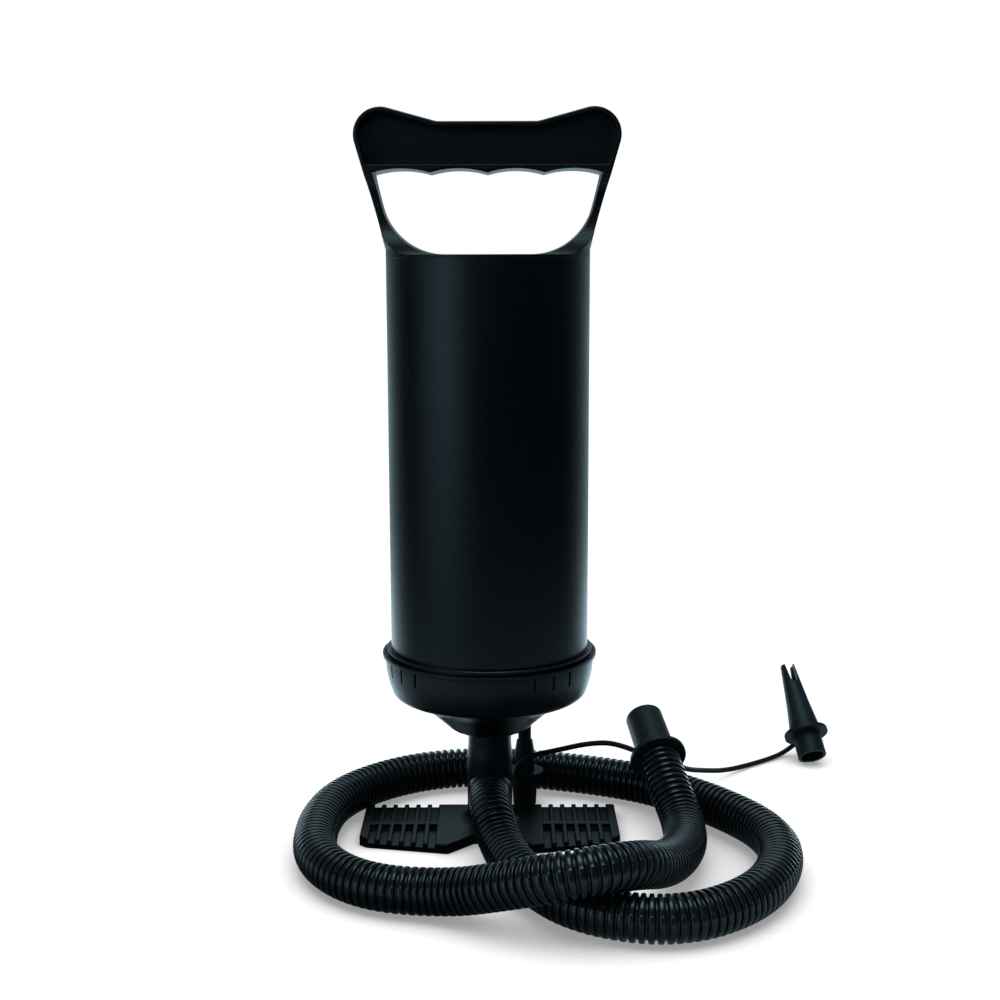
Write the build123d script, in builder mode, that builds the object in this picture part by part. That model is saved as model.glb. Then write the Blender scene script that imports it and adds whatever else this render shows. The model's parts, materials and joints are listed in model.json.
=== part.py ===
"""Double action hand pump: a barrel with a D handle that slides on a fixed stem and piston, with its
foot, corrugated hose, hose cuff and two nozzles on a moulded strap.  Millimetres, +Z up, origin on
the floor at the pump's axis; the hose leaves the foot towards -Y."""
import os
from math import atan, cos, pi, radians, sin, tan

from build123d import *

os.makedirs("parts", exist_ok=True)

# ---- driving dimensions -------------------------------------------------------------------------
barrel_radius = 50.0
barrel_wall = 2.2
barrel_top = 293.2
barrel_flange_z = 97.0
stem_radius = 11.1
stem_bore = 7.0
foot_half_width = 66.0
tread_height = 5.0
column_radius = 11.65
column_top = 39.0
grip_half_depth = 14.5
grip_top = 357.5
lobe_radius = 13.0
lobe_centre = (51.0, 351.3)
hose_radius = 10.5
hose_bore = 9.1
port_height = 22.0
strap_radius = 1.4
running = 0.06                 # radial clearance of a part that slides or turns on another
flap_thickness = 1.2
flap_gap = 0.05                # between a resting flap and its seat

barrel_bore = barrel_radius - barrel_wall
piston_radius = barrel_bore - 0.4
piston_floor = 266.0           # underside of the piston
piston_joint = 278.0           # where the piston cover sits on the body
piston_top = 281.5
cap_ledge = 78.4               # ledge in the cap under the end of the barrel
stroke = piston_floor - cap_ledge - 0.6


# ---- shared shapes ------------------------------------------------------------------------------
def turned(outline, plane=Plane.XZ, axis=Axis.Z):
    """A solid of revolution from a closed half outline of (radius, height) points."""
    with BuildPart() as piece:
        with BuildSketch(plane):
            with BuildLine():
                Polyline(*outline, close=True)
            make_face()
        revolve(axis=axis)
    return piece


def ring(inner, outer, low, high):
    """A plain flat ring about the pump's axis."""
    return turned([(inner, low), (outer, low), (outer, high), (inner, high)])


keeper_head, keeper_head_height, keeper_pin, keeper_pin_length = 5.2, 1.6, 2.55, 4.9
flap_bore, small_flap_radius = 2.9, 13.6


def keeper(seat):
    """The headed pin that holds a valve flap: its head's upper face is at the seat height."""
    head_low, pin_top = seat - keeper_head_height, seat + keeper_pin_length
    return turned([(0, head_low), (keeper_head, head_low), (keeper_head, seat), (keeper_pin, seat),
                   (keeper_pin, pin_top), (0, pin_top)])


def flap(inner, outer, seat):
    """A flat rubber ring that rests just above its seat."""
    low = seat + flap_gap
    return ring(inner, outer, low, low + flap_thickness)


def save(piece, name):
    piece.part.label = name
    export_step(piece.part, f"parts/{name}.step")


# ---- foot ---------------------------------------------------------------------------------------
channel_first, channel_pitch, channel_count, channel_width = 29.2, 6.1, 6, 3.7
channel_depth, pocket_depth, rib_round = 1.75, 2.4, 0.7
tread_back, open_end = 19.0, 2.0
front_corner, front_nose, side_front, bridge_front = (62.0, -28.5), (21.0, -37.0), -25.0, (8.0, -24.0)
tread_bar = (-9.2, -5.2)       # the cross bar between the back channels and the front pockets
boss_face, boss_radius = 12.8, 11.2    # the port boss's flat face lies in front of the axis
air_bore, port_bore, port_socket, port_socket_floor = 8.0, 6.5, 9.0, 9.5
well_floor, stem_socket, stem_socket_floor = 12.0, 9.4, 31.0
stem_screw_height, stem_screw_radius = 35.0, 1.25



def tread_groove(across, depth, front, back):
    """What a groove of the tread takes away, from front to back, with rounded upper edges."""
    half, rise = channel_width / 2, tread_height - rib_round
    bend = rib_round * (1 - cos(radians(45)))
    with BuildPart() as groove:
        with BuildSketch(Plane.XZ.offset(-back)):
            with BuildLine():
                Polyline((across - half, rise), (across - half, tread_height - depth),
                         (across + half, tread_height - depth), (across + half, rise))
                ThreePointArc((across + half, rise), (across + half + bend, tread_height - bend),
                              (across + half + rib_round, tread_height))
                Line((across + half + rib_round, tread_height), (across - half - rib_round, tread_height))
                ThreePointArc((across - half - rib_round, tread_height),
                              (across - half - bend, tread_height - bend), (across - half, rise))
            make_face()
        extrude(amount=back - front)
    return groove.part


with BuildPart() as foot_base:
    with BuildSketch():
        with BuildLine():
            Polyline((0, tread_back), (foot_half_width, tread_back), (foot_half_width, side_front),
                     front_corner, front_nose, bridge_front, (0, bridge_front[1]))
            mirror(about=Plane.YZ)
        make_face()
    extrude(amount=tread_height)
    fillet(foot_base.edges().filter_by(Axis.Z), 1.5)
    fillet(foot_base.faces().sort_by(Axis.Z)[-1].outer_wire().edges(), 0.6)
    for side in (-1, 1):
        for number in range(channel_count):
            across = side * (channel_first + channel_pitch * number)
            add(tread_groove(across, channel_depth, tread_bar[1], tread_back + open_end),
                mode=Mode.SUBTRACT)
            add(tread_groove(across, pocket_depth, front_nose[1] - open_end, tread_bar[0]),
                mode=Mode.SUBTRACT)
    with BuildSketch():
        Circle(column_radius)
    extrude(amount=column_top)
    column_foot = foot_base.edges().filter_by(GeomType.CIRCLE).filter_by(
        lambda edge: abs(edge.radius - column_radius) < 0.01 and abs(edge.center().Z - tread_height) < 0.01)
    fillet(column_foot, 5)
    with BuildSketch(Plane.XZ):
        with Locations((0, port_height)):
            Circle(boss_radius)
    extrude(amount=boss_face)
    with BuildSketch(Plane.XY.offset(well_floor)):
        Circle(air_bore)
    extrude(amount=column_top, mode=Mode.SUBTRACT)
    with BuildSketch(Plane.XY.offset(stem_socket_floor)):
        Circle(stem_socket)
    extrude(amount=column_top, mode=Mode.SUBTRACT)
    with BuildSketch(Plane.XZ):
        with Locations((0, port_height)):
            Circle(port_bore)
    extrude(amount=boss_face, mode=Mode.SUBTRACT)
    with BuildSketch(Plane.XZ.offset(port_socket_floor)):
        with Locations((0, port_height)):
            Circle(port_socket)
    extrude(amount=boss_face, mode=Mode.SUBTRACT)
    with BuildSketch(Plane.XZ):
        with Locations((0, stem_screw_height)):
            Circle(stem_screw_radius)
    extrude(amount=-column_radius, mode=Mode.SUBTRACT)
save(foot_base, "foot_base")

port_end, port_tip = 24.2, 8.2

hose_port = turned([(port_bore, port_socket_floor), (port_socket, port_socket_floor),
                    (port_socket, port_end - 1.2), (port_tip, port_end), (port_bore, port_end)],
                   Plane(origin=(0, 0, port_height), x_dir=(1, 0, 0), z_dir=(0, 0, 1)).rotated((180, 0, 0)),
                   Axis((0, 0, port_height), (0, 1, 0)))
save(hose_port, "hose_port")

stem_spigot, stem_low, stem_top, stem_collar_top = 9.35, 32.5, 269.0, 46.5

with BuildPart() as stem_tube:
    with BuildSketch(Plane.XZ):
        with BuildLine():
            Polyline((stem_bore, stem_low), (stem_spigot, stem_low), (stem_spigot, column_top),
                     (column_radius, column_top), (column_radius, column_top + 0.6),
                     (stem_radius, stem_collar_top), (stem_radius, stem_top), (stem_bore, stem_top),
                     close=True)
        make_face()
    revolve(axis=Axis.Z)
    with BuildSketch(Plane.XZ):
        with Locations((0, stem_screw_height)):
            Circle(stem_screw_radius)
    extrude(amount=-column_radius, mode=Mode.SUBTRACT)
save(stem_tube, "stem_tube")

stem_gasket = ring(8.1, 9.3, stem_socket_floor, stem_low)
save(stem_gasket, "stem_gasket")

stem_screw = turned([(0, 7.6), (1.2, 7.6), (1.2, 11.7), (2.6, 11.7), (2.6, 12.6), (1.8, 13.4), (0, 13.4)],
                    Plane(origin=(0, 0, stem_screw_height), x_dir=(1, 0, 0), z_dir=(0, 0, 1)),
                    Axis((0, 0, stem_screw_height), (0, 1, 0)))
save(stem_screw, "stem_screw")

# ---- piston and its delivery valves -------------------------------------------------------------
groove = (272.0, 276.4)        # where the seal lies, low and high
groove_floor, seal_lip = 44.2, 0.8
screw_circle, screw_count, screw_radius, screw_head, screw_head_height = 36.0, 4, 1.2, 3.0, 1.9
screw_post, screw_pilot, screw_depth, screw_sink, screw_hole = 4.0, 1.25, 8.5, 2.0, 1.7
hub_radius, hub_low, cup_radius = 14.5, 256.0, 41.5
piston_web = stem_top          # upper face of the piston floor
valve_circle, valve_count, valve_hole = 9.5, 6, 2.2    # the six holes under a small flap
keeper_hole = 2.6

with BuildPart() as piston_body:
    with BuildSketch(Plane.XZ):
        with BuildLine():
            Polyline((stem_radius, hub_low), (hub_radius, hub_low), (hub_radius, piston_floor),
                     (piston_radius, piston_floor), (piston_radius, groove[0]), (groove_floor, groove[0]),
                     (groove_floor, groove[1]), (piston_radius, groove[1]), (piston_radius, piston_joint),
                     (cup_radius, piston_joint), (cup_radius, piston_web), (stem_radius, piston_web),
                     close=True)
        make_face()
    revolve(axis=Axis.Z)
    with BuildSketch(Plane.XY.offset(piston_web)):
        with PolarLocations(screw_circle, screw_count):
            Circle(screw_post)
    extrude(amount=piston_joint - piston_web)
    with BuildSketch(Plane.XY.offset(piston_joint)):
        with PolarLocations(screw_circle, screw_count):
            Circle(screw_pilot)
    extrude(amount=-screw_depth, mode=Mode.SUBTRACT)
    with BuildSketch(Plane.XY.offset(piston_floor)):
        with PolarLocations(23, 10):
            Circle(2.5)
    extrude(amount=piston_web - piston_floor, mode=Mode.SUBTRACT)
save(piston_body, "piston_body")

with BuildPart() as piston_cover:
    with BuildSketch(Plane.XY.offset(piston_joint)):
        Circle(piston_radius)
        Circle(keeper_hole, mode=Mode.SUBTRACT)
        with PolarLocations(valve_circle, valve_count):
            Circle(valve_hole, mode=Mode.SUBTRACT)
        with PolarLocations(screw_circle, screw_count):
            Circle(screw_hole, mode=Mode.SUBTRACT)
    extrude(amount=piston_top - piston_joint)
    with BuildSketch(Plane.XY.offset(piston_top)):
        with PolarLocations(screw_circle, screw_count):
            Circle(screw_head + 0.2)
    extrude(amount=-screw_sink, mode=Mode.SUBTRACT)
    with BuildSketch(Plane.XY.offset(piston_joint)):
        with PolarLocations(22, 6, start_angle=18):
            Circle(2)
    extrude(amount=-(piston_joint - piston_web - 3))
save(piston_cover, "piston_cover")

with BuildPart() as piston_screws:
    with BuildSketch(Plane.XY.offset(piston_web + 1)):
        with PolarLocations(screw_circle, screw_count):
            Circle(screw_radius)
    extrude(amount=piston_top - screw_sink - piston_web - 1)
    with BuildSketch(Plane.XY.offset(piston_top - screw_sink)):
        with PolarLocations(screw_circle, screw_count):
            Circle(screw_head)
    extrude(amount=screw_head_height)
save(piston_screws, "piston_screws")

seal_low, seal_high = groove[0] + 0.3, groove[1] - 0.3
seal_inner, seal_outer = groove_floor + running, barrel_bore - running
piston_seal = turned([(seal_inner, seal_low), (barrel_bore - seal_lip, seal_low),
                      (seal_outer, seal_low + seal_lip), (seal_outer, seal_high - seal_lip),
                      (barrel_bore - seal_lip, seal_high), (seal_inner, seal_high)])
save(piston_seal, "piston_seal")

piston_flap_seat = 275.6
save(keeper(piston_flap_seat), "piston_valve_keeper")
save(flap(flap_bore, small_flap_radius, piston_flap_seat), "upper_delivery_flap")
save(flap(16, 30, piston_web), "lower_delivery_flap")

# ---- barrel -------------------------------------------------------------------------------------
barrel_low, collar_radius, thread_crest = 80.0, 49.3, 49.6
flange_radius, flange_top = 52.2, 98.0


def thread_ridge(middle):
    """One ridge of the thread on the barrel's collar."""
    return [(collar_radius, middle - 0.6), (thread_crest, middle - 0.3), (thread_crest, middle + 0.3),
            (collar_radius, middle + 0.6)]


barrel_tube = turned([(barrel_bore, barrel_low), (collar_radius, barrel_low),
                      *thread_ridge(85), *thread_ridge(90),
                      (collar_radius, barrel_flange_z), (flange_radius, barrel_flange_z),
                      (flange_radius, flange_top - 0.3), (flange_radius - 0.3, flange_top),
                      (barrel_radius, flange_top), (barrel_radius, barrel_top), (barrel_bore, barrel_top)])
save(barrel_tube, "barrel_tube")

# ---- handle head: the barrel's lid and the D handle in one moulding ------------------------------
head_lid = 295.0               # upper face of the lid, the floor of the hand hole
lid_underside, lid_depth = 291.3, 51.0
skirt_low, skirt_bore = piston_top + 0.5, 45.4    # the lid's skirt ends just over the piston cover
flare = 0.289                  # outward slope of the handle's sides, mm per mm of height
flare_start = 301.0
hole_top, hole_half_top, hole_half_bottom = 333.5, 55.25, 45.2
hole_corner = 30.0
grip_low = 333.0               # below this the arms narrow to a waist and widen again towards the lid
arm_waist = (8.5, 319.0)       # the side outline of an arm: (half depth, height)
arm_foot, arm_hollow = (34.0, head_lid), (15.0, 302.5)
arm_shoulder = (10.2, 328.0)
scallops, scallop_rise = 4, 2.0
recess_floor, recess_low, rim = 2.0, 337.3, 2.1
slope = radians(15.2)          # how the grip's top rises from its flat middle to the lobes
tilt = atan(flare)
above_grip = 370.0             # a height clear over the grip, for cutting shapes
edge_round = 1.0
lobe_top = (lobe_centre[0] - lobe_radius * sin(slope), lobe_centre[1] + lobe_radius * cos(slope))
lobe_side = (lobe_centre[0] + lobe_radius * cos(tilt), lobe_centre[1] - lobe_radius * sin(tilt))
flat_end = lobe_top[0] - (lobe_top[1] - grip_top) / tan(slope)


def lobe_point(angle, radius):
    """A point on a circle about the middle of the grip's right lobe."""
    return (lobe_centre[0] + radius * cos(angle), lobe_centre[1] + radius * sin(angle))


def on_grip_face(edge):
    """True for an edge on the flat front or back of the grip."""
    return abs(abs(edge.center().Y) - grip_half_depth) < 0.01


with BuildSketch() as recess:
    with BuildLine():
        inner_radius = lobe_radius - rim
        recess_side = lobe_point(-tilt, inner_radius)
        recess_top = lobe_point(pi / 2 + slope, inner_radius)
        recess_foot = (recess_side[0] - (recess_side[1] - recess_low) * flare, recess_low)
        recess_flat = (recess_top[0] - (recess_top[1] - grip_top + rim) / tan(slope), grip_top - rim)
        Polyline((0, recess_low), recess_foot, recess_side)
        ThreePointArc(recess_side, lobe_point(pi / 4, inner_radius), recess_top)
        Polyline(recess_top, recess_flat, (0, grip_top - rim))
        mirror(about=Plane.YZ)
    make_face()
    fillet(recess.vertices().group_by(Axis.Y)[0].sort_by(Axis.X)[0::2], 3)

with BuildPart() as handle_head:
    with BuildSketch(Plane.XZ):
        with BuildLine():
            Polyline((0, barrel_top), (barrel_radius, barrel_top), (barrel_radius, flare_start), lobe_side)
            ThreePointArc(lobe_side, lobe_point(pi / 4, lobe_radius), lobe_top)
            Polyline(lobe_top, (flat_end, grip_top), (0, grip_top))
            mirror(about=Plane.YZ)
        make_face()
    extrude(amount=60, both=True)
    fillet(handle_head.edges().filter_by(Axis.Y).filter_by(
        lambda edge: abs(edge.center().Z - flare_start) < 0.1), 40)
    fillet(handle_head.edges().filter_by(Axis.Y).filter_by(
        lambda edge: abs(abs(edge.center().X) - flat_end) < 0.1 and edge.center().Z > hole_top), 10)
    with BuildSketch(Plane.YZ):
        with BuildLine():
            Polyline((0, barrel_top), (lid_depth, barrel_top), (lid_depth, head_lid), arm_foot)
            ThreePointArc(arm_foot, arm_hollow, arm_waist)
            ThreePointArc(arm_waist, arm_shoulder, (grip_half_depth, grip_low))
            Polyline((grip_half_depth, grip_low), (grip_half_depth, above_grip), (0, above_grip))
            mirror(about=Plane.YZ)
        make_face()
    extrude(amount=70, both=True, mode=Mode.INTERSECT)
    fillet(handle_head.edges().filter_by(
        lambda edge: edge.center().Z > grip_low + 1 and on_grip_face(edge)), edge_round)
    with BuildSketch(Plane.XZ):
        with BuildLine():
            Polyline((0, barrel_top), (barrel_radius, barrel_top), (barrel_radius, 297.5), (60, 322),
                     (72, 350), (72, above_grip), (0, above_grip), close=True)
        make_face()
    revolve(axis=Axis.Z, mode=Mode.INTERSECT)
    with BuildSketch(Plane.XZ) as hand_hole:
        with BuildLine():
            Polyline((hole_half_top, hole_top), (hole_half_bottom, head_lid), (-hole_half_bottom, head_lid),
                     (-hole_half_top, hole_top))
            pitch = 2 * hole_half_top / scallops
            for number in range(scallops):
                left = -hole_half_top + pitch * number
                ThreePointArc((left, hole_top), (left + pitch / 2, hole_top + scallop_rise),
                              (left + pitch, hole_top))
        make_face()
        fillet(hand_hole.vertices().group_by(Axis.Y)[0], hole_corner)
    extrude(amount=60, both=True, mode=Mode.SUBTRACT)
    fillet(handle_head.edges().filter_by(GeomType.CIRCLE).filter_by(
        lambda edge: hole_top < edge.center().Z < recess_low and on_grip_face(edge)), edge_round)
    for face_plane, outward in ((Plane.XZ.offset(recess_floor), 20), (Plane.XZ.offset(-recess_floor), -20)):
        with BuildSketch(face_plane):
            add(recess.sketch)
        extrude(amount=outward, mode=Mode.SUBTRACT)
    with BuildSketch(Plane.XZ):
        with BuildLine():
            Polyline((skirt_bore, skirt_low), (barrel_bore, skirt_low), (barrel_bore, barrel_top),
                     (0, barrel_top), (0, lid_underside), (skirt_bore, lid_underside), close=True)
        make_face()
    revolve(axis=Axis.Z)
    with BuildSketch(Plane.XY.offset(lid_underside)):
        with PolarLocations(valve_circle, valve_count):
            Circle(valve_hole)
    extrude(amount=6, mode=Mode.SUBTRACT)
    with BuildSketch(Plane.XY.offset(lid_underside)):
        Circle(keeper_hole)
    extrude(amount=keeper_hole, mode=Mode.SUBTRACT)
save(handle_head, "handle_head")

head_flap_seat = 288.6
save(keeper(head_flap_seat), "head_valve_keeper")
save(flap(flap_bore, small_flap_radius, head_flap_seat), "head_intake_flap")

# ---- end cap, gland and intake valve -------------------------------------------------------------
cap_radius, cap_bottom, valve_floor = 52.9, 53.6, 63.5
lip_radius, lip_top, lip_inner, lip_floor, shoulder_radius = 54.4, 95.5, 52.9, 94.4, 51.6
cap_throat, gland_radius, gland_floor, cap_wall = 11.7, 14.6, 56.2, 49.6
slot_groups, slot_pitch = (-144.8, -53.6, 35.2, 126.4), 11.9
sleeve_inner, sleeve_low, sleeve_flange, sleeve_high, sleeve_radius = 13.95, 56.6, 66.3, 68.5, 18.5

with BuildPart() as end_cap:
    with BuildSketch(Plane.XZ):
        with BuildLine():
            Line((cap_throat, cap_bottom), (15, cap_bottom))
            ThreePointArc((15, cap_bottom), (18.7, 54.4), (21.9, 56.8))
            Line((21.9, 56.8), (31, 64.9))
            ThreePointArc((31, 64.9), (35, 67.8), (39.5, 69.8))
            Line((39.5, 69.8), (46.6, 72.8))
            ThreePointArc((46.6, 72.8), (49, 74.6), (50.2, 77.2))
            ThreePointArc((50.2, 77.2), (52.1, 83.8), (cap_radius, 91))
            Polyline((cap_radius, 91), (cap_radius, 93.4), (lip_radius, 93.8), (lip_radius, lip_top),
                     (lip_inner, lip_top), (lip_inner, lip_floor), (shoulder_radius, lip_floor),
                     (shoulder_radius, barrel_flange_z), (cap_wall, barrel_flange_z), (cap_wall, cap_ledge),
                     (46.8, cap_ledge), (24.9, valve_floor), (gland_radius, valve_floor),
                     (gland_radius, gland_floor), (cap_throat, gland_floor), (cap_throat, cap_bottom))
        make_face()
    revolve(axis=Axis.Z)
    with BuildSketch(Plane.XY.offset(cap_bottom)):
        with PolarLocations(19.5, 8):
            Circle(2.1)
    extrude(amount=12, mode=Mode.SUBTRACT)
    for group in slot_groups:
        with BuildSketch(Plane.XY.offset(86)):
            with PolarLocations(cap_radius, 3, start_angle=group - slot_pitch, angular_range=3 * slot_pitch):
                Rectangle(2.6, 1.5)
        extrude(amount=7, mode=Mode.SUBTRACT)
save(end_cap, "end_cap")

save(ring(47.9, 49.2, cap_ledge, barrel_low), "cap_gasket")
save(ring(stem_radius + running, 13.9, gland_floor, valve_floor), "gland_bush")
save(ring(stem_radius + running, 13.4, valve_floor, 66.5), "stem_wiper")
sleeve_outer = gland_radius - 0.02
gland_sleeve = turned([
    (sleeve_inner, sleeve_low), (sleeve_outer, sleeve_low), (sleeve_outer, sleeve_flange),
    (sleeve_radius, sleeve_flange), (sleeve_radius, sleeve_high), (cap_throat, sleeve_high),
    (cap_throat, sleeve_flange + 0.4), (sleeve_inner, sleeve_flange + 0.4),
])
save(gland_sleeve, "gland_sleeve")
save(flap(14.9, 24.2, valve_floor), "cap_intake_flap")

# ---- hose ---------------------------------------------------------------------------------------
hose_route = [
    (0, -12.8, 22), (0, -34, 22), (6, -56, 11.5), (16, -90, 11), (40, -126, 11), (82, -139, 11),
    (121, -113.5, 11), (140.5, -72, 11), (139, -35, 11), (117, 2, 11), (86.5, 32.5, 11), (52, 49, 11),
    (14, 60, 11), (-24, 60, 11),
    (-57, 42.5, 11), (-81, 11.5, 11), (-87.5, -28, 11), (-83, -70.5, 11), (-57, -101, 11), (-18, -109, 11.5),
    (8, -127, 23), (36, -139, 33.2), (64, -128, 33.2), (82, -94, 18.3), (95, -58, 12.5), (97.5, -30, 12.5),
    (91.8, -6.8, 24.8), (88.6, 10, 33.1),
]
strap_a_route = [
    (76.6, 9.5, 37.4), (66.5, 18, 39.4), (52, 25.2, 36.5), (36, 24.6, 33), (20.5, 22.3, 30.6), (13.4, 21, 24.2),
    (14.1, 25, 17.3),
]
strap_b_route = [
    (96.7, 18.2, 27.5), (105.5, 31, 19.8), (117.5, 51, 12), (133, 73, 4), (149, 89, 1.5), (164.5, 101, 1.5),
    (175, 111, 2), (181.3, 112.2, 6.9),
]


def cord_path(route, name):
    """Straight runs joined by the largest arcs the runs allow; prints the radii."""
    corners = [Vector(*point) for point in route]
    runs = [after - before for before, after in zip(corners, corners[1:])]
    radii = []
    for before, after in zip(runs, runs[1:]):
        half_turn = radians(before.get_angle(after)) / 2
        radii.append(0.45 * min(before.length, after.length) / tan(half_turn))
    print(name, "radii", [round(radius, 1) for radius in radii])
    with BuildLine() as path:
        FilletPolyline(*corners, radius=radii)
    return path.wires()[0]


def cord(route, name, radius, bore=0):
    """The tube of a cord along its route; prints its volume against section times length."""
    path = cord_path(route, name)
    with BuildPart() as tube:
        with BuildSketch(Plane(origin=path @ 0, z_dir=path % 0)):
            Circle(radius)
            if bore:
                Circle(bore, mode=Mode.SUBTRACT)
        sweep(path=path)
    section = pi * (radius ** 2 - bore ** 2)
    print(name, "length", round(path.length, 1), "volume ratio",
          round(tube.part.volume / (section * path.length), 4))
    return tube


save(cord(hose_route, "hose", hose_radius, hose_bore), "hose")
save(cord(strap_a_route, "strap_a", strap_radius), "strap_a")
save(cord(strap_b_route, "strap_b", strap_radius), "strap_b")


# ---- hose cuff, strap ring and nozzles -----------------------------------------------------------
def on_axis(outline, origin, direction):
    """A turned piece along any axis: outline points are (radius, distance along the axis)."""
    along = Vector(*direction).normalized()
    across = Vector(0, 0, 1).cross(along).normalized() if abs(along.Z) < 0.99 else Vector(1, 0, 0)
    section = Plane(origin=origin, x_dir=across, z_dir=across.cross(along))
    return turned(outline, section, Axis(origin, along))


cuff_start = Vector(*hose_route[-1])
cuff_axis = (cuff_start - Vector(*hose_route[-2])).normalized()
cuff_length, cuff_bore = 31.0, 8.25
nozzle_a_start, nozzle_a_axis, nozzle_a_length = Vector(18.6, 34, 0.1), Vector(0, 0, 1), 52.0
nozzle_b_start, nozzle_b_axis = Vector(187.4, 93.2, 5.4), Vector(-0.132, 0.695, 0.708).normalized()
nozzle_b_across = Vector(0, 0, 1).cross(nozzle_b_axis).normalized()
plug_radius, plug_length = cuff_bore - 0.05, 13.6    # nozzle B's plug slides into the cuff
fork_start, fork_end, fork_slot, fork_gap = 49.3, 60.2, 1.95, 2.75

cuff_outline = [
    (cuff_bore, 0), (14.8, 0), (14.8, 2.1), (10.2, 2.1), (9.9, cuff_length), (cuff_bore, cuff_length),
]
save(on_axis(cuff_outline, cuff_start, cuff_axis), "hose_cuff")

nozzle_a_outline = [
    (5.2, 0), (6.2, 0), (7, 16), (5.2, 16.4), (5.2, 25.6), (5.8, 26.2), (4.3, 35.6), (3.5, 36),
    (3.5, nozzle_a_length), (2.2, nozzle_a_length), (2.6, 30), (4, 26), (4, 15), (5.2, 14),
]
save(on_axis(nozzle_a_outline, nozzle_a_start, nozzle_a_axis), "nozzle_a")

nozzle_b_outline = [
    (6.6, 0), (plug_radius, 0), (plug_radius, plug_length), (8.6, plug_length), (8.6, 20), (6.9, 33),
    (5.2, 50), (4.2, fork_end), (3.1, fork_end), (3.8, 50), (5.3, 30), (6.6, 14),
]
nozzle_b_cone = on_axis(nozzle_b_outline, nozzle_b_start, nozzle_b_axis)
with BuildPart() as nozzle_b:
    add(nozzle_b_cone.part)
    with BuildSketch(Plane(origin=nozzle_b_start + nozzle_b_axis * fork_start, x_dir=nozzle_b_across,
                           z_dir=nozzle_b_across.cross(nozzle_b_axis))):
        Circle(fork_slot)
        with BuildLine():
            Polyline((-fork_slot, 0), (fork_slot, 0), (fork_gap, fork_end - fork_start + 1),
                     (-fork_gap, fork_end - fork_start + 1), close=True)
        make_face()
    extrude(amount=8, both=True, mode=Mode.SUBTRACT)
save(nozzle_b, "nozzle_b")

# each strap ring: inner radius, outer radius, and where it starts and ends along its piece
strap_rings = {
    "strap_ring_cuff": (10.25, 12.6, 2.15, 4.8, cuff_start, cuff_axis),
    "strap_ring_a": (5.25, 10, 16.5, 18.9, nozzle_a_start, nozzle_a_axis),
    "strap_ring_b": (8.62, 12.7, 13.8, 15.8, nozzle_b_start, nozzle_b_axis),
}
for ring_name, (inner, outer, low, high, start, direction) in strap_rings.items():
    save(on_axis([(inner, low), (outer, low), (outer, high), (inner, high)], start, direction), ring_name)
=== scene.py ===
"""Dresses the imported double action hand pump: finishes, hose, straps, floor, light and camera."""
import json
from math import cos, pi, radians, sin

import bpy
from bpy.props import FloatProperty, FloatVectorProperty, PointerProperty
from bpy.types import Operator, Panel, PropertyGroup
from mathutils import Euler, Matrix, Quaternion, Vector


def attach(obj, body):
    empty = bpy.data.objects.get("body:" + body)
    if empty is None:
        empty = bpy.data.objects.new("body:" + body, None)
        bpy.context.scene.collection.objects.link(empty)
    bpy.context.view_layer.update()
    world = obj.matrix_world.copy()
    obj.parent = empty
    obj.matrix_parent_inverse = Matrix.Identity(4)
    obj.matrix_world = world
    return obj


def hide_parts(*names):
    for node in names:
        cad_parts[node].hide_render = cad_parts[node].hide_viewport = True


bl_info = {
    "name": "Hand Pump",
    "version": (1, 0, 0),
    "blender": (4, 5, 0),
    "location": "View3D > Sidebar > Hand Pump",
    "description": "Finishes, hose, straps, floor, light and camera of a double action hand pump",
    "category": "Object",
}

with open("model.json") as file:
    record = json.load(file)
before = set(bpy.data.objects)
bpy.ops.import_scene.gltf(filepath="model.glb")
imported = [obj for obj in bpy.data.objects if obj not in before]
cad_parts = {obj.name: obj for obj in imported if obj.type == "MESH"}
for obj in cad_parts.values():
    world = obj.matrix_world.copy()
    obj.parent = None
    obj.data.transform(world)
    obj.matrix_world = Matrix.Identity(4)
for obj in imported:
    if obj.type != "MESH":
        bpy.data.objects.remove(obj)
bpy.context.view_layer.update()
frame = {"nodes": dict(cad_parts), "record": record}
MM = 0.001
Z_AXIS = Vector((0, 0, 1))

# The cords' routes repeat the points of the CAD source, in metres.
HOSE_ROUTE = [
    (0, -0.0128, 0.022), (0, -0.034, 0.022), (0.006, -0.056, 0.0115), (0.016, -0.09, 0.011),
    (0.04, -0.126, 0.011), (0.082, -0.139, 0.011), (0.121, -0.1135, 0.011), (0.1405, -0.072, 0.011),
    (0.139, -0.035, 0.011), (0.117, 0.002, 0.011), (0.0865, 0.0325, 0.011), (0.052, 0.049, 0.011),
    (0.014, 0.06, 0.011), (-0.024, 0.06, 0.011), (-0.057, 0.0425, 0.011), (-0.081, 0.0115, 0.011),
    (-0.0875, -0.028, 0.011), (-0.083, -0.0705, 0.011), (-0.057, -0.101, 0.011), (-0.018, -0.109, 0.0115),
    (0.008, -0.127, 0.023), (0.036, -0.139, 0.0332), (0.064, -0.128, 0.0332), (0.082, -0.094, 0.0183),
    (0.095, -0.058, 0.0125), (0.0975, -0.03, 0.0125), (0.0918, -0.0068, 0.0248), (0.0886, 0.01, 0.0331),
]
STRAP_A_ROUTE = [
    (0.0766, 0.0095, 0.0374), (0.0665, 0.018, 0.0394), (0.052, 0.0252, 0.0365), (0.036, 0.0246, 0.033),
    (0.0205, 0.0223, 0.0306), (0.0134, 0.021, 0.0242), (0.0141, 0.025, 0.0173),
]
STRAP_B_ROUTE = [
    (0.0967, 0.0182, 0.0275), (0.1055, 0.031, 0.0198), (0.1175, 0.051, 0.012), (0.133, 0.073, 0.004),
    (0.149, 0.089, 0.0015), (0.1645, 0.101, 0.0015), (0.175, 0.111, 0.002), (0.1813, 0.1122, 0.0069),
]

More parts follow.
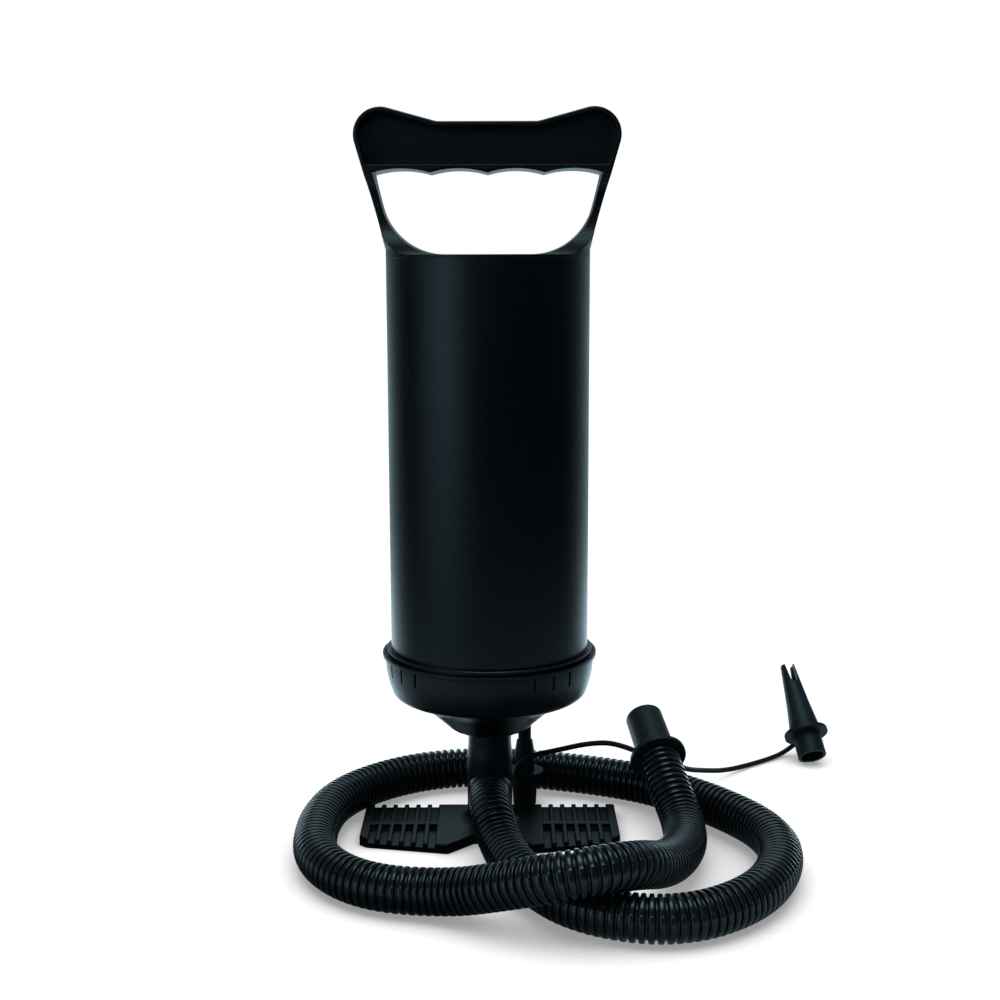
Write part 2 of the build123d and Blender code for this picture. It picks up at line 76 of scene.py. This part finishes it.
# One rib and one groove of the hose: shares of the pitch, and the depth there as a share of the groove's.
RIB_PROFILE = [
    (0.0, 1.0), (0.09, 0.98), (0.15, 0.78), (0.19, 0.36), (0.24, 0.1), (0.34, 0.015), (0.5, 0.0),
    (0.66, 0.015), (0.76, 0.1), (0.81, 0.36), (0.85, 0.78), (0.91, 0.98),
]
HOSE_FACETS, STRAP_FACETS = 44, 20
SEAM_ANGLE, SEAM_WIDTH = radians(149), radians(3)
HOSE_ANGLES = sorted([2 * pi * step / HOSE_FACETS for step in range(HOSE_FACETS)]
                     + [SEAM_ANGLE - SEAM_WIDTH, SEAM_ANGLE, SEAM_ANGLE + SEAM_WIDTH])
STRAP_ANGLES = [2 * pi * step / STRAP_FACETS for step in range(STRAP_FACETS)]
STRAP_STEP = 0.0015                     # between the rings of a strap's mesh
PATH_STEPS = 400                        # stretches of the hose's line
SPLINE_STEPS = 24                       # stretches between two control points

# Finishes by record slot: material, colour, roughness, mould grain per metre, its depth, and the rest.
FINISH_TABLE = (
    ("barrel_plastic", "satin_barrel", "barrel", 0.3, 1500.0, 0.00006, {"cloud_scale": 12.0, "scuff": 0.04}),
    ("moulded_plastic", "satin_moulding", "moulded", 0.36, 1500.0, 0.00006, {"edge": 0.9 * MM}),
    ("stem_plastic", "smooth_stem", "moulded", 0.36, 1500.0, 0.00006, {}),
    ("hose_plastic", "glossy_hose", "hose", 0.3, 1500.0, 0.000002, {"cloud_scale": 60.0}),
    ("nozzle_plastic", "satin_nozzle", "nozzle", 0.5, 1500.0, 0.00008, {"edge": 0.3 * MM}),
    ("strap_plastic", "satin_strap", "nozzle", 0.5, 1500.0, 0.00001, {"edge": 0.3 * MM}),
    ("inner_plastic", "satin_inner", "inner", 0.4, 1500.0, 0.00001, {}),
    ("seal_rubber", "matt_rubber", "rubber", 0.6, 1200.0, 0.00001, {}),
    ("flap_rubber", "soft_rubber", "rubber", 0.55, 1200.0, 0.00001, {}),
    ("screw_steel", "zinc_steel", "screw", 0.3, 2500.0, 0.000005, {}),
)
EVEN_VALUES = {                         # what is the same all over a surface
    "hose_plastic": {"Coat Weight": 0.5, "Coat Roughness": 0.16},
    "screw_steel": {"Metallic": 1.0},
}
SHEEN_TINT = (0.76, 0.91, 1.0, 1)
SMOOTHER, ROUGHER = 0.03, 0.04          # how far handling moves the roughness each way
SPOT_ROUGHNESS = 0.14                   # the grain's high spots are duller
SPOT_GAIN, SPOT_LIFT = 1.9, 0.0015      # and a little lighter
DUST = (0.3, 0.31, 0.32, 1)
DOTS_PER_METRE = 260.0                  # places where a speck of dust may lie
SCUFF_TURN, SCUFF_STRETCH = (0.4, 0.9, 0.3), (1.0, 7.0, 0.6)
EDGE_SAMPLES, CONTACT_SAMPLES = 6, 12

# Masks are ramps: the noise or distance where the mask is 0, and where it is 1.
GRAIN_SPOTS, SCUFF_MARKS = (0.52, 0.72), (0.66, 0.78)
SPECK_DISC, SPECK_CHANCE = (0.07, 0.03), (0.93, 0.97)
CLOUD_RANGE = (0.3, 0.7)

STUDIO_TINT = (0.66, 0.9, 1.0, 1)       # what the black plastics mirror is a cool grey
WINDOW_SIDE = (-0.79, -0.61, 0.0)       # where the pale band on the barrel's left comes from: a bright patch of the world's light, and the same patch painted into the floor's reflection
WHITE = (1, 1, 1, 1)
FLOOR_PAPER = (0.45, 0.33, 0.297, 1)    # looks white under that tint
FLOOR_BOUNCE = (0.3, 0.3, 0.3, 1)       # what the floor is to every ray but the camera's and glossy ones
FLOOR_ROUGHNESS, FLOOR_HALF = 0.9, 6.0
ROOM_FRONT, ROOM_BACK = 0.075, 3.2      # brightness of the studio in front, and what is added behind in the floor's painted reflection
BACK_RISE, BACK_POWER = (0.3, 1.0), 2.1
WINDOW_EDGE = (0.8, 0.99)               # cosines off the window's direction: outside and inside
SKY_BACK, SKY_WINDOW = 0.5, 0.5

# Ramps as low, high, value at low, value at high; over metres, but the painted contact shade over openness.
CONTACT_REACH, CONTACT_SHADE = 0.045, (0.3, 0.85, 0.3, 1.0)
PAINTED_PAPER_SHEEN = (0.2, 0.5, 0.5, 0.0)            # painted reflection: a glow of the paper round the object, by distance from the middle
UNDER = (0.11, 0.26, 0.05, 1.0)         # and the painted shade beneath it
PANE = (0.6, 1.4, 0.0, 0.75)            # the painted window starts further out
NEARBY = (0.15, 0.8, 1.55, 0.33)        # the painted sheen, by distance from the surface that mirrors it
SHADED = (0.06, 0.18, 0.02, 1.0)        # and its painted shade where the two nearly touch

LAMP_AIM = (0, 0, 0.16)
LAMPS = (                               # name, place, size, power
    ("left_softbox", (-1.02, -0.95, 0.66), (0.3, 0.9), 1.0),
    ("overhead_softbox", (0.0, -0.1, 1.7), (1.0, 1.0), 9.0),
    ("camera_lamp", (-0.04, -0.95, 0.5), (0.08, 0.14), 0.07),
)


# ---- what a user may change -----------------------------------------------------------------------
def colour(name, description, default):
    return FloatVectorProperty(name=name, description=description, subtype="COLOR", size=4, min=0, max=1,
                               default=(*default, 1))


def length(name, description, default):
    return FloatProperty(name=name, description=description, unit="LENGTH", min=0, default=default)


class PumpFinishes(PropertyGroup):
    """Colours of the pump's materials."""
    barrel: colour("Barrel", "Satin black of the barrel", (0.0018, 0.0026, 0.0040))
    moulded: colour("Mouldings", "Black of the handle, the end cap and the foot", (0.0014, 0.0021, 0.0031))
    hose: colour("Hose", "Black of the corrugated hose", (0.0026, 0.0038, 0.0050))
    nozzle: colour("Nozzles", "Softer black of the cuff, nozzles and straps", (0.0125, 0.0175, 0.0205))
    inner: colour("Inner parts", "Dark grey of the piston and the gland", (0.03, 0.035, 0.04))
    rubber: colour("Rubber", "Black of the seals and flaps", (0.012, 0.012, 0.013))
    screw: colour("Screws", "Zinc of the screws", (0.55, 0.56, 0.58))


class PumpHose(PropertyGroup):
    """Sizes of the corrugated hose and the straps."""
    diameter: length("Hose diameter", "Over the ribs", 21.5 * MM)
    pitch: length("Rib pitch", "From one rib to the next", 3.8 * MM)
    groove: length("Groove depth", "From a rib's top to the bottom of the groove", 1.7 * MM)
    seam: length("Seam height", "How far the moulding seam stands out", 0.3 * MM)
    strap: length("Strap diameter", "Thickness of the straps that keep the nozzles", 2.8 * MM)


class PumpStage(PropertyGroup):
    """Place and lens of the camera."""
    lens: FloatProperty(name="Lens", description="Focal length on a 36 mm wide sensor", unit="CAMERA",
                        default=54)
    tilt: FloatProperty(name="Tilt", description="How far the camera looks down", subtype="ANGLE",
                        default=radians(9.36))
    roll: FloatProperty(name="Roll", description="How far the camera leans to its right", subtype="ANGLE",
                        default=radians(0.15))
    place: FloatVectorProperty(name="Camera place", description="Where the camera stands", size=3,
                               subtype="TRANSLATION", default=(0.0056, -0.7457, 0.2957))


# ---- meshes ---------------------------------------------------------------------------------------
def add_mesh(name, points, faces):
    """A smooth-shaded mesh object in the scene."""
    mesh = bpy.data.meshes.new(name)
    mesh.from_pydata([tuple(point) for point in points], [], faces)
    mesh.validate()
    mesh.update()
    for polygon in mesh.polygons:
        polygon.use_smooth = True
    piece = bpy.data.objects.new(name, mesh)
    bpy.context.scene.collection.objects.link(piece)
    return piece


def spline_curve(name, route):
    """A curve object of one NURBS spline through the route's control points."""
    curve = bpy.data.curves.new(name, "CURVE")
    curve.dimensions = "3D"
    spline = curve.splines.new("NURBS")
    spline.points.add(len(route) - 1)
    for point, place in zip(spline.points, route):
        point.co = (*place, 1)
    spline.order_u = 3
    spline.use_endpoint_u = True
    spline.resolution_u = SPLINE_STEPS
    curve.resolution_u = SPLINE_STEPS
    piece = bpy.data.objects.new(name, curve)
    bpy.context.scene.collection.objects.link(piece)
    return piece


def spline_points(route):
    """Points along the smooth spline of a route, and the length of that line."""
    piece = spline_curve("route", route)
    mesh = bpy.data.meshes.new_from_object(piece)
    points = [vertex.co.copy() for vertex in mesh.vertices]
    curve = piece.data
    bpy.data.objects.remove(piece)
    bpy.data.curves.remove(curve)
    bpy.data.meshes.remove(mesh)
    return points, sum((after - before).length for before, after in zip(points, points[1:]))


class Line:
    """A smooth line that can be asked for its place and its direction at any distance from its start."""

    def __init__(self, route):
        self.points, self.length = spline_points(route)
        self.reach = [0.0]
        for before, after in zip(self.points, self.points[1:]):
            self.reach.append(self.reach[-1] + (after - before).length)

    def place(self, distance):
        distance = min(max(distance, 0.0), self.length)
        low, high = 0, len(self.reach) - 1
        while high - low > 1:
            middle = (low + high) // 2
            if self.reach[middle] <= distance:
                low = middle
            else:
                high = middle
        share = (distance - self.reach[low]) / max(self.reach[high] - self.reach[low], 1e-12)
        return self.points[low].lerp(self.points[high], share)

    def heading(self, distance, span=0.002):
        ahead, behind = min(distance + span, self.length), max(distance - span, 0.0)
        return (self.place(ahead) - self.place(behind)).normalized()


def swept(name, line, distances, radius_at, angles, start_side):
    """A closed tube: rings across the line at the given distances, radius_at(ring number, angle) from it."""
    points, faces = [], []
    side = Vector(start_side)
    around = len(angles)
    for ring, distance in enumerate(distances):
        centre, along = line.place(distance), line.heading(distance)
        side = (side - along * side.dot(along)).normalized()
        upward = along.cross(side)
        for angle in angles:
            points.append(centre + (side * cos(angle) + upward * sin(angle)) * radius_at(ring, angle))
    for ring in range(len(distances) - 1):
        for step in range(around):
            here, there = ring * around, (ring + 1) * around
            following = (step + 1) % around
            faces.append((here + step, here + following, there + following, there + step))
    for ring, first, flip in ((0, line.place(distances[0]), True),
                              (len(distances) - 1, line.place(distances[-1]), False)):
        points.append(first)
        for step in range(around):
            a, b = ring * around + step, ring * around + (step + 1) % around
            faces.append((b, a, len(points) - 1) if flip else (a, b, len(points) - 1))
    return add_mesh(name, points, faces)


# ---- shader groups --------------------------------------------------------------------------------
def shader_group(name, inputs, outputs):
    """A new node group with its sockets, and its input and output nodes."""
    group = bpy.data.node_groups.new(name, "ShaderNodeTree")
    for socket, kind, default in inputs:
        made = group.interface.new_socket(socket, in_out="INPUT", socket_type=kind)
        made.default_value = default
    for socket, kind in outputs:
        group.interface.new_socket(socket, in_out="OUTPUT", socket_type=kind)
    return group, group.nodes.new("NodeGroupInput"), group.nodes.new("NodeGroupOutput")


def add_node(tree, kind, links=(), **settings):
    """A node with its inputs set or linked: links holds (input, value or output socket) pairs."""
    node = tree.nodes.new(kind)
    for key, value in settings.items():
        setattr(node, key, value)
    for key, value in links:
        if isinstance(value, bpy.types.NodeSocket):
            tree.links.new(value, node.inputs[key])
        else:
            node.inputs[key].default_value = value
    return node


def maths(tree, operation, *values):
    """What a Math node makes of the values."""
    return add_node(tree, "ShaderNodeMath", enumerate(values), operation=operation).outputs[0]


def ramp(tree, value, low, high, start=0.0, end=1.0, kind="LINEAR"):
    """Goes from start to end while the value goes from low to high."""
    links = [("Value", value), ("From Min", low), ("From Max", high), ("To Min", start), ("To Max", end)]
    return add_node(tree, "ShaderNodeMapRange", links, interpolation_type=kind).outputs[0]


def blended(tree, mask, first, second):
    """The first colour where the mask is 0, and the second where it is 1."""
    return add_node(tree, "ShaderNodeMix", [(0, mask), (6, first), (7, second)], data_type="RGBA").outputs[2]


def fine_grain_group():
    """Spark-eroded mould grain: a height for bump, and a mask of the grain's high spots."""
    group, given, result = shader_group(
        "Fine grain", [("Scale", "NodeSocketFloat", 1500.0), ("Roughness", "NodeSocketFloat", 0.6)],
        [("Height", "NodeSocketFloat"), ("Spots", "NodeSocketFloat")])
    place = add_node(group, "ShaderNodeTexCoord").outputs["Object"]
    scale = given.outputs["Scale"]
    noise = add_node(group, "ShaderNodeTexNoise", [
        ("Vector", place), ("Scale", scale), ("Detail", 3.0), ("Roughness", given.outputs["Roughness"])])
    pits = add_node(group, "ShaderNodeTexVoronoi", [("Vector", place), ("Scale", scale)])
    level = noise.outputs["Fac"]
    height = maths(group, "MULTIPLY_ADD", level, pits.outputs["Distance"], level)
    group.links.new(height, result.inputs["Height"])
    group.links.new(ramp(group, level, *GRAIN_SPOTS), result.inputs["Spots"])
    return group


def handling_group():
    """Wear from handling: slow changes of sheen, fine scuffs, and dust specks, as masks."""
    group, given, result = shader_group(
        "Handling", [("Cloud scale", "NodeSocketFloat", 18.0), ("Scuff scale", "NodeSocketFloat", 160.0)],
        [("Clouds", "NodeSocketFloat"), ("Scuffs", "NodeSocketFloat"), ("Specks", "NodeSocketFloat")])
    place = add_node(group, "ShaderNodeTexCoord").outputs["Object"]
    clouds = add_node(group, "ShaderNodeTexNoise", [
        ("Vector", place), ("Scale", given.outputs["Cloud scale"]), ("Detail", 4.0)])
    stretch = add_node(group, "ShaderNodeMapping", [
        ("Vector", place), ("Rotation", SCUFF_TURN), ("Scale", SCUFF_STRETCH)])
    streaks = add_node(group, "ShaderNodeTexNoise", [
        ("Vector", stretch.outputs[0]), ("Scale", given.outputs["Scuff scale"]), ("Detail", 2.0)])
    dots = add_node(group, "ShaderNodeTexVoronoi", [("Vector", place), ("Scale", DOTS_PER_METRE)])
    chance = add_node(group, "ShaderNodeSeparateColor", [("Color", dots.outputs["Color"])])
    specks = ramp(group, dots.outputs["Distance"], *SPECK_DISC)
    few = ramp(group, chance.outputs[0], *SPECK_CHANCE)
    group.links.new(clouds.outputs["Fac"], result.inputs["Clouds"])
    group.links.new(ramp(group, streaks.outputs["Fac"], *SCUFF_MARKS), result.inputs["Scuffs"])
    group.links.new(maths(group, "MULTIPLY", specks, few), result.inputs["Specks"])
    return group


def surround_group():
    """How bright the studio looks in a direction: dark in front, paler behind, a window at the left."""
    group, given, result = shader_group(
        "Studio surround",
        [("Direction", "NodeSocketVector", (0.0, 1.0, 0.0)), ("Front", "NodeSocketFloat", ROOM_FRONT),
         ("Back", "NodeSocketFloat", ROOM_BACK)],
        [("Brightness", "NodeSocketFloat"), ("Window", "NodeSocketFloat")])
    unit = add_node(group, "ShaderNodeVectorMath", [(0, given.outputs["Direction"])],
                    operation="NORMALIZE").outputs[0]
    parts = add_node(group, "ShaderNodeSeparateXYZ", [("Vector", unit)])
    rising = maths(group, "POWER", ramp(group, parts.outputs["Y"], *BACK_RISE), BACK_POWER)
    paler = maths(group, "MULTIPLY_ADD", rising, given.outputs["Back"], given.outputs["Front"])
    facing = add_node(group, "ShaderNodeVectorMath", [(0, unit), (1, WINDOW_SIDE)], operation="DOT_PRODUCT")
    group.links.new(paler, result.inputs["Brightness"])
    group.links.new(ramp(group, facing.outputs["Value"], *WINDOW_EDGE, kind="SMOOTHSTEP"),
                    result.inputs["Window"])
    return group


def use_group(tree, name, build, links=()):
    """The outputs of a shared group, which is built the first time it is used."""
    shared = bpy.data.node_groups.get(name) or build()
    return add_node(tree, "ShaderNodeGroup", links, node_tree=shared).outputs


def plastic(name, base, roughness, grain_scale, grain_depth, edge=0.0, cloud_scale=18.0, scuff=0.12,
            speck=0.3):
    """A moulded surface: worn edges, mould grain, sheen that drifts, scuffs and a few specks of dust."""
    material = bpy.data.materials.new(name)
    material.use_nodes = True
    tree = material.node_tree
    shader = tree.nodes["Principled BSDF"]
    shader.inputs["Specular Tint"].default_value = SHEEN_TINT
    grain = use_group(tree, "Fine grain", fine_grain_group, [("Scale", grain_scale)])
    handled = use_group(tree, "Handling", handling_group, [("Cloud scale", cloud_scale)])

    bump = add_node(tree, "ShaderNodeBump", [("Height", grain["Height"]), ("Distance", grain_depth),
                                             ("Strength", 1.0)])
    if edge:
        softened = add_node(tree, "ShaderNodeBevel", [("Radius", edge)], samples=EDGE_SAMPLES)
        tree.links.new(softened.outputs[0], bump.inputs["Normal"])
    tree.links.new(bump.outputs[0], shader.inputs["Normal"])

    drift = ramp(tree, handled["Clouds"], *CLOUD_RANGE, roughness - SMOOTHER, roughness + ROUGHER)
    worn = maths(tree, "MULTIPLY_ADD", handled["Scuffs"], scuff, drift)
    pitted = maths(tree, "MULTIPLY_ADD", grain["Spots"], SPOT_ROUGHNESS, worn)
    tree.links.new(pitted, shader.inputs["Roughness"])

    lighter = tuple(min(1.0, channel * SPOT_GAIN + SPOT_LIFT) for channel in base[:3])
    tone = blended(tree, grain["Spots"], base, (*lighter, 1))
    dusty = maths(tree, "MULTIPLY", handled["Specks"], speck)
    tree.links.new(blended(tree, dusty, tone, DUST), shader.inputs["Base Color"])
    return material


def painted_reflection_strength(tree, ray_length):
    """Painted reflection, seen by glossy rays alone: how bright the floor glows with the studio's sheen, the
    paper close by, and the window.
    """
    place = add_node(tree, "ShaderNodeTexCoord").outputs["Object"]
    reach = add_node(tree, "ShaderNodeVectorMath", [(0, place)], operation="LENGTH").outputs["Value"]
    arriving = add_node(tree, "ShaderNodeNewGeometry").outputs["Incoming"]
    onward = add_node(tree, "ShaderNodeVectorMath", [(0, arriving), ("Scale", -1.0)], operation="SCALE")
    around = use_group(tree, "Studio surround", surround_group, [("Direction", onward.outputs[0])])

    sheet = ramp(tree, reach, *PAINTED_PAPER_SHEEN, "SMOOTHSTEP")
    under = ramp(tree, reach, *UNDER, "SMOOTHSTEP")
    paper = maths(tree, "MULTIPLY", sheet, under)
    sheen = maths(tree, "MULTIPLY", ramp(tree, ray_length, *NEARBY), ramp(tree, ray_length, *SHADED))
    back = maths(tree, "MULTIPLY_ADD", around["Brightness"], sheen, paper)
    return maths(tree, "MULTIPLY_ADD", around["Window"], ramp(tree, reach, *PANE), back)


def floor_material():
    """White to the camera, with painted contact shade at the object's foot; a painted studio reflection to
    glossy rays; grey to the others.
    """
    material = bpy.data.materials.new("floor_white")
    material.use_nodes = True
    tree = material.node_tree
    shader = tree.nodes["Principled BSDF"]
    shader.inputs["Roughness"].default_value = FLOOR_ROUGHNESS
    shader.inputs["Specular IOR Level"].default_value = 0.0
    rays = add_node(tree, "ShaderNodeLightPath").outputs
    paper = blended(tree, rays["Is Camera Ray"], FLOOR_BOUNCE, FLOOR_PAPER)
    tree.links.new(paper, shader.inputs["Base Color"])

    # Painted contact shade: the white glow dims where ambient occlusion finds the object close, on top of
    # the lamps' own shadows.
    nook = add_node(tree, "ShaderNodeAmbientOcclusion", [("Distance", CONTACT_REACH)],
                    samples=CONTACT_SAMPLES)
    glow_with_painted_shade = ramp(tree, nook.outputs["AO"], *CONTACT_SHADE)
    glow = add_node(tree, "ShaderNodeEmission", [("Strength", glow_with_painted_shade)])
    white = add_node(tree, "ShaderNodeAddShader", [(0, shader.outputs[0]), (1, glow.outputs[0])])
    # Painted reflection: to glossy rays the floor glows, dark in front and brighter than white behind the
    # object, which puts the sheen, edge glow and pale band on the plastics.
    painted_reflection = add_node(tree, "ShaderNodeEmission", [
        ("Strength", painted_reflection_strength(tree, rays["Ray Length"])), ("Color", STUDIO_TINT)])

    seen = shader.outputs[0]
    for kind, surface in (("Is Camera Ray", white), ("Is Glossy Ray", painted_reflection)):
        seen = add_node(tree, "ShaderNodeMixShader", [(0, rays[kind]), (1, seen), (2, surface.outputs[0])])
        seen = seen.outputs[0]
    tree.links.new(seen, tree.nodes["Material Output"].inputs["Surface"])
    return material


# ---- finishes -------------------------------------------------------------------------------------
def paint(piece, material):
    """Gives a piece this one material."""
    piece.data.materials.clear()
    piece.data.materials.append(material)


def dress(piece, body, slot, material, *nodes):
    """Gives a made piece its body and its material, and hides the CAD nodes that it stands for; its record
    slot is not used.
    """
    paint(piece, material)
    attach(piece, body)
    if nodes:
        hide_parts(*nodes)
    return piece


FINISHES = {}


def finishes():
    """The pump's materials by record slot, made once from the scene's colours."""
    if FINISHES:
        return FINISHES
    colours = bpy.context.scene.pump_finishes
    for slot, name, tone, roughness, grain_scale, grain_depth, rest in FINISH_TABLE:
        material = plastic(name, getattr(colours, tone), roughness, grain_scale, grain_depth, **rest)
        shader = material.node_tree.nodes["Principled BSDF"]
        for key, value in EVEN_VALUES.get(slot, {}).items():
            shader.inputs[key].default_value = value
        FINISHES[slot] = material
    return FINISHES


# ---- operators ------------------------------------------------------------------------------------
class PUMP_OT_frame_finishes(Operator):
    """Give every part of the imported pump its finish."""
    bl_idname = "pump.frame_finishes"
    bl_label = "Finish packed parts"

    def execute(self, context):
        made = finishes()
        for row in frame["record"]["subparts"]:
            paint(frame["nodes"][row["node"]], made[row["material_slot"]])
        return {"FINISHED"}


class PUMP_OT_hose(Operator):
    """Make the corrugated hose along its route."""
    bl_idname = "pump.hose"
    bl_label = "Hose"

    def execute(self, context):
        size = context.scene.pump_hose
        line = Line(HOSE_ROUTE)
        ribs = round(line.length / size.pitch)
        pitch = line.length / ribs
        distances = [pitch * (number + phase) for number in range(ribs) for phase, depth in RIB_PROFILE]
        distances.append(line.length)
        depths = [depth for number in range(ribs) for phase, depth in RIB_PROFILE] + [1.0]
        outer = size.diameter / 2

        def radius_at(ring, angle):
            crest = 1 - depths[ring]
            seam = max(0.0, 1 - abs(angle - SEAM_ANGLE) / SEAM_WIDTH)
            return outer - size.groove * depths[ring] + size.seam * seam * crest

        hose = swept("corrugated_hose", line, distances, radius_at, HOSE_ANGLES, (1, 0, 0))
        dress(hose, "root", "hose_plastic", finishes()["hose_plastic"], "hose")
        path = [line.place(line.length * number / PATH_STEPS) for number in range(PATH_STEPS + 1)]
        return {"FINISHED"}


class PUMP_OT_straps(Operator):
    """Make the two straps that keep the nozzles on the hose."""
    bl_idname = "pump.straps"
    bl_label = "Straps"

    def execute(self, context):
        thickness = context.scene.pump_hose.strap
        for name, route, rest in (("strap_a", STRAP_A_ROUTE, ["strap_ring_a", "nozzle_a"]),
                                  ("strap_b", STRAP_B_ROUTE, ["strap_ring_b", "nozzle_b"])):
            line = Line(route)
            count = round(line.length / STRAP_STEP)
            distances = [line.length * number / count for number in range(count + 1)]
            strap = swept(f"{name}_cord", line, distances, lambda ring, angle: thickness / 2, STRAP_ANGLES,
                          (0, 0, 1))
            dress(strap, "root", "strap_plastic", finishes()["strap_plastic"], name)
            [line.place(reach) for reach in distances]
        return {"FINISHED"}


class PUMP_OT_stage(Operator):
    """Make the floor, the lamps, the background and the camera."""
    bl_idname = "pump.stage"
    bl_label = "Stage"

    def execute(self, context):
        stage = context.scene.pump_stage
        context.scene.view_settings.view_transform = "Standard"
        self.floor()
        self.background()
        self.lamps()
        camera = bpy.data.cameras.new("camera")
        camera.lens, camera.sensor_width = stage.lens, 36
        viewer = bpy.data.objects.new("camera", camera)
        viewer.location = stage.place
        upright = Euler((radians(90) - stage.tilt, 0, 0)).to_quaternion()
        viewer.rotation_euler = (upright @ Quaternion(Z_AXIS, -stage.roll)).to_euler()
        context.scene.collection.objects.link(viewer)
        context.scene.camera = viewer
        return {"FINISHED"}

    def floor(self):
        corners = [(-FLOOR_HALF, -FLOOR_HALF, 0), (FLOOR_HALF, -FLOOR_HALF, 0),
                   (FLOOR_HALF, FLOOR_HALF, 0), (-FLOOR_HALF, FLOOR_HALF, 0)]
        ground = add_mesh("floor", corners, [(0, 1, 2, 3)])
        paint(ground, floor_material())

    def background(self):
        world = bpy.data.worlds.new("studio")
        bpy.context.scene.world = world
        world.use_nodes = True
        tree = world.node_tree
        ground = tree.nodes["Background"]
        direction = add_node(tree, "ShaderNodeTexCoord").outputs["Generated"]
        around = use_group(tree, "Studio surround", surround_group,
                           [("Direction", direction), ("Back", SKY_BACK)])
        camera_ray = add_node(tree, "ShaderNodeLightPath").outputs["Is Camera Ray"]
        bright = maths(tree, "MULTIPLY_ADD", around["Window"], SKY_WINDOW, around["Brightness"])
        tree.links.new(maths(tree, "MAXIMUM", camera_ray, bright), ground.inputs["Strength"])
        tree.links.new(blended(tree, camera_ray, STUDIO_TINT, WHITE), ground.inputs["Color"])

    def lamps(self):
        for name, place, size, power in LAMPS:
            light = bpy.data.lights.new(name, "AREA")
            light.shape = "RECTANGLE"
            light.size, light.size_y = size
            light.energy = power
            light.color = STUDIO_TINT[:3]
            lamp = bpy.data.objects.new(name, light)
            lamp.location = place
            aim = Vector(LAMP_AIM) - Vector(place)
            lamp.rotation_euler = aim.to_track_quat("-Z", "Y").to_euler()
            bpy.context.scene.collection.objects.link(lamp)


class PUMP_PT_panel(Panel):
    """Lists the pump's steps and settings."""
    bl_label = "Hand Pump"
    bl_space_type = "VIEW_3D"
    bl_region_type = "UI"
    bl_category = "Hand Pump"

    def draw(self, context):
        for group in ("pump_finishes", "pump_hose", "pump_stage"):
            box = self.layout.box()
            values = getattr(context.scene, group)
            for key in values.bl_rna.properties.keys():
                if key not in {"rna_type", "name"}:
                    box.prop(values, key)
        for step in OPERATORS:
            self.layout.operator(step.bl_idname)


OPERATORS = (PUMP_OT_frame_finishes, PUMP_OT_hose, PUMP_OT_straps, PUMP_OT_stage)
GROUPS = {"pump_finishes": PumpFinishes, "pump_hose": PumpHose, "pump_stage": PumpStage}


def register():
    for kind in (*GROUPS.values(), *OPERATORS, PUMP_PT_panel):
        bpy.utils.register_class(kind)
    for name, kind in GROUPS.items():
        setattr(bpy.types.Scene, name, PointerProperty(type=kind))


def unregister():
    for name in GROUPS:
        delattr(bpy.types.Scene, name)
    for kind in (PUMP_PT_panel, *reversed(OPERATORS), *reversed(tuple(GROUPS.values()))):
        bpy.utils.unregister_class(kind)


def main():
    register()
    for step in OPERATORS:
        family, action = step.bl_idname.split(".")
        getattr(getattr(bpy.ops, family), action)()


if __name__ == "__main__":
    main()
